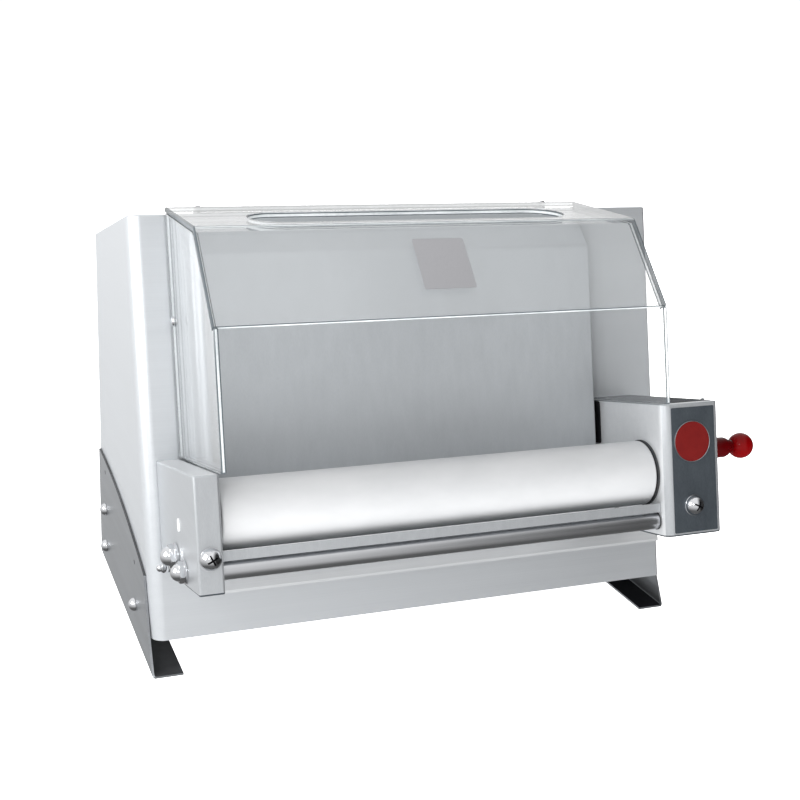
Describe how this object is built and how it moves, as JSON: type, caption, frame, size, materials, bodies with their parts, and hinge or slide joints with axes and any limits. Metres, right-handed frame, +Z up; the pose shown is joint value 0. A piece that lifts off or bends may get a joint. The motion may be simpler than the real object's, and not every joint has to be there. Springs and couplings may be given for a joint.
{
  "type": "pizza dough press",
  "caption": "Motor driven pizza dough sheeter: leaning sheet metal body, white rollers between brackets, gap lever with ball knob, and a hinged clear hood over a feed chute.",
  "frame": {"origin": "centre of the footprint's bounding box, on the surface that the feet stand on", "axes": "+Z up, front with rollers and hood towards -Y, +X towards the lever side along the rollers"},
  "size_m": [0.5566, 0.429, 0.4055],
  "materials": {
    "body_panel": "light satin stainless sheet with fine brushing",
    "plate_steel": "darker satin steel plate",
    "bracket_steel": "satin stainless sheet",
    "chute_steel": "brushed stainless sheet, brushed up and down",
    "ground_steel": "turned and ground steel",
    "bright_screw": "bright plated",
    "white_roller": "smooth white food-safe plastic",
    "gear_nylon": "dark moulded plastic",
    "bearing_bronze": "plain bronze",
    "clear_acrylic": "clear polished sheet with bright edges",
    "red_knob": "glossy dark red",
    "red_disc": "flat dark red",
    "black_plastic": "fine grained black",
    "green_button": "moulded green",
    "red_button": "moulded red",
    "belt_rubber": "black rubber",
    "motor_paint": "dark grey paint"
  },
  "bodies": {
    "frame": {"body_shell": "body_panel", "rear_cover": "body_panel", "base_plate": "plate_steel", "left_foot": "plate_steel", "right_foot": "plate_steel", "left_foot_bolt_rear": "bright_screw", "left_foot_bolt_front": "bright_screw", "left_foot_bolt_low": "bright_screw", "right_foot_bolt_rear": "bright_screw", "right_foot_bolt_front": "bright_screw", "left_bracket": "bracket_steel", "right_bracket": "bracket_steel", "left_bracket_screw": "bright_screw", "right_bracket_screw": "bright_screw", "bracket_disc": "red_disc", "thumb_nut_upper": "bright_screw", "thumb_nut_lower": "bright_screw", "feed_chute": "chute_steel", "exit_slide": "chute_steel", "guard_bar": "ground_steel", "front_scraper": "plate_steel", "rear_scraper": "plate_steel", "guide_rail_left": "plate_steel", "guide_rail_right": "plate_steel", "rear_bearing_left": "bearing_bronze", "rear_bearing_right": "bearing_bronze", "drive_belt": "belt_rubber", "motor": "motor_paint", "gearbox": "motor_paint", "motor_cradle": "plate_steel", "index_plate": "bracket_steel", "hinge_base": "bright_screw", "hinge_rod": "bright_screw", "switch_housing": "black_plastic", "cable_gland": "black_plastic"},
    "rear_roller": {"rear_shaft": "ground_steel", "rear_roller": "white_roller", "rear_gear": "gear_nylon", "roller_pulley": "ground_steel"},
    "front_carrier": {"left_carrier": "plate_steel", "right_carrier": "plate_steel", "front_bearing_left": "bearing_bronze", "front_bearing_right": "bearing_bronze"},
    "front_roller": {"front_shaft": "ground_steel", "front_roller": "white_roller", "front_gear": "gear_nylon"},
    "motor_pulley": {"motor_pulley": "ground_steel"},
    "adjuster": {"adjuster_shaft": "ground_steel", "lever_arm": "plate_steel", "lever_collar": "red_knob"},
    "plunger": {"lever_knob": "red_knob"},
    "hood": {"hood_panel": "clear_acrylic", "hood_side_left": "clear_acrylic", "hood_side_right": "clear_acrylic", "hinge_strip": "clear_acrylic", "hood_stud_left": "bright_screw", "hood_stud_right": "bright_screw"},
    "start_button": {"start_button": "green_button"},
    "stop_button": {"stop_button": "red_button"}
  },
  "joints": [
    {"name": "rear_roller_spin", "type": "hinge", "parent": "frame", "child": "rear_roller", "pos_m": [-0.0334, -0.10565, 0.15304], "axis": [1, 0, 0], "continuous": true},
    {"name": "lever_turn", "type": "hinge", "parent": "frame", "child": "adjuster", "pos_m": [0.2316, -0.06575, 0.16325], "axis": [1, 0, 0], "range_deg": [-16.5, 13.5]},
    {"name": "front_carrier_slide", "type": "slide", "parent": "frame", "child": "front_carrier", "axis": [0, 0.9673, -0.2538], "range_m": [-0.00231, 0.00189]},
    {"name": "front_roller_spin", "type": "hinge", "parent": "front_carrier", "child": "front_roller", "pos_m": [-0.0334, -0.16064, 0.17987], "axis": [1, 0, 0], "continuous": true},
    {"name": "motor_pulley_spin", "type": "hinge", "parent": "frame", "child": "motor_pulley", "pos_m": [0.1916, -0.0035, 0.09316], "axis": [1, 0, 0], "continuous": true},
    {"name": "plunger_pull", "type": "slide", "parent": "adjuster", "child": "plunger", "axis": [1, 0, 0], "range_m": [0, 0.006], "stiffness_N_per_m": 500, "springref_m": -0.004},
    {"name": "hood_lift", "type": "hinge", "parent": "frame", "child": "hood", "pos_m": [-0.0334, 0.02087, 0.39888], "axis": [-1, 0, 0], "range_deg": [0, 85]},
    {"name": "start_button_press", "type": "slide", "parent": "frame", "child": "start_button", "axis": [-1, 0, 0], "range_m": [0, 0.003], "stiffness_N_per_m": 300, "springref_m": -0.002},
    {"name": "stop_button_press", "type": "slide", "parent": "frame", "child": "stop_button", "axis": [-1, 0, 0], "range_m": [0, 0.003], "stiffness_N_per_m": 300, "springref_m": -0.002}
  ],
  "couplings": [
    {"joint": "front_roller_spin", "follows": "rear_roller_spin", "ratio": -1},
    {"joint": "motor_pulley_spin", "follows": "rear_roller_spin", "ratio": 1.6},
    {"joint": "front_carrier_slide", "follows": "lever_turn", "m_per_rad": 0.008}
  ]
}
